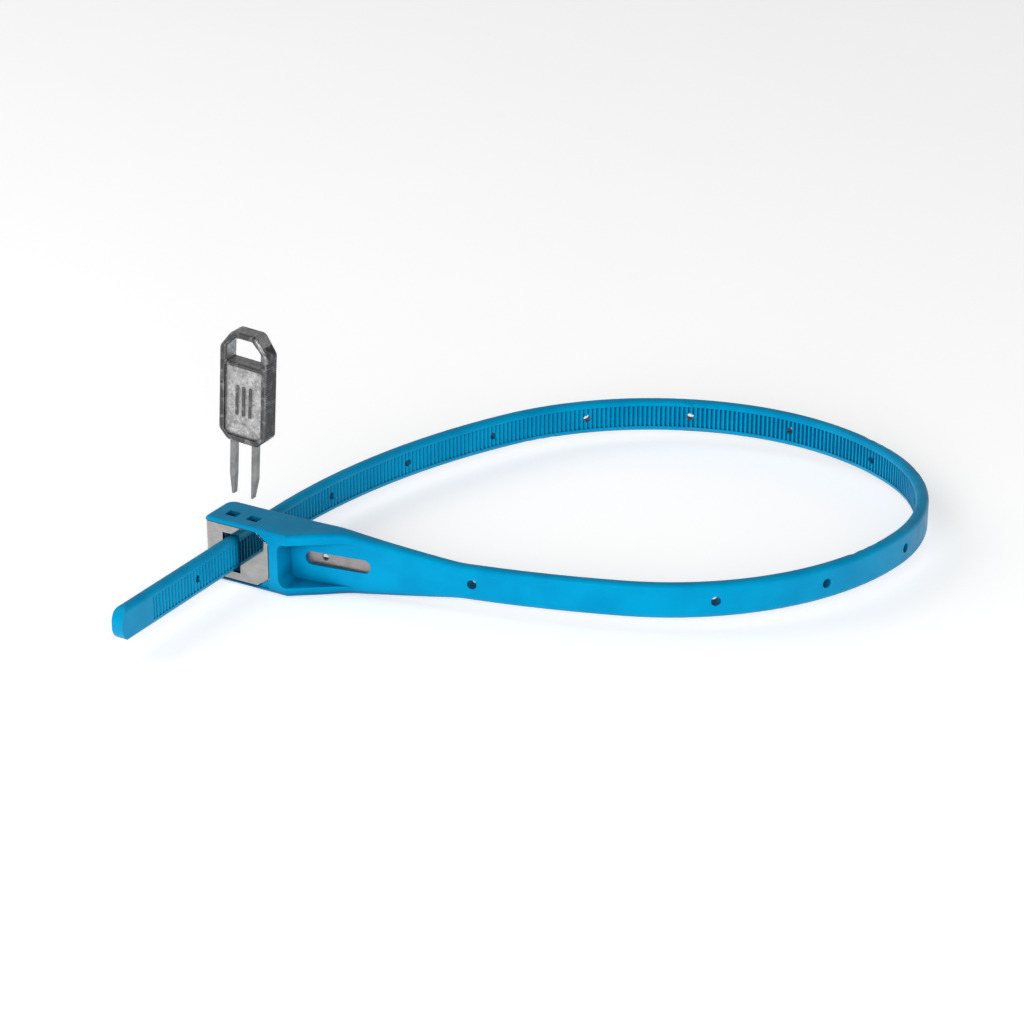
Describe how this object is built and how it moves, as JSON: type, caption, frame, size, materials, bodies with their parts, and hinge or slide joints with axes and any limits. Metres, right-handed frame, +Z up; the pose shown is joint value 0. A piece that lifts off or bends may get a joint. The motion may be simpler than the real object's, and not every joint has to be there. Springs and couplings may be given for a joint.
{
  "type": "lockable cable tie",
  "caption": "Reusable steel-cored nylon security tie closed in a loop through its own lock head, released by a two-pronged key",
  "frame": {"origin": "on the flat underside of the head, straight below the middle of the strap slot", "axes": "+Z up along the strap's width and the key's lift, -Y the way the strap's free end leaves the slot, +X the way the strap's root leaves the head"},
  "size_m": [0.1183, 0.1477, 0.0519],
  "materials": {
    "nylon": "injection-moulded satin blue nylon",
    "core_steel": "cold-rolled stainless strip",
    "polished_steel": "polished stainless sheet",
    "pawl_steel": "hardened sintered steel",
    "pin_steel": "ground steel pin",
    "spring_steel": "spring steel leaf",
    "cast_key": "tumbled grey zinc casting",
    "fork_steel": "stamped steel"
  },
  "bodies": {
    "tie": {"nylon_overmould": "nylon", "steel_core_band": "core_steel", "lock_cage": "polished_steel", "pawl_pin": "pin_steel", "pawl_spring": "spring_steel"},
    "pawl": {"locking_pawl": "pawl_steel"},
    "key": {"key_bow": "cast_key", "key_prong_fork": "fork_steel"}
  },
  "joints": [
    {"name": "key_slide", "type": "slide", "parent": "tie", "child": "key", "axis": [-0.0628, 0, -0.998], "range_m": [0, 0.015]},
    {"name": "pawl_pivot", "type": "hinge", "parent": "tie", "child": "pawl", "pos_m": [0.0055, -0.00175, 0.0065], "axis": [0, 0, 1], "range_deg": [0, 10.4]}
  ],
  "couplings": [
    {"joint": "pawl_pivot", "follows": "key_slide", "rad_per_m": 12}
  ]
}
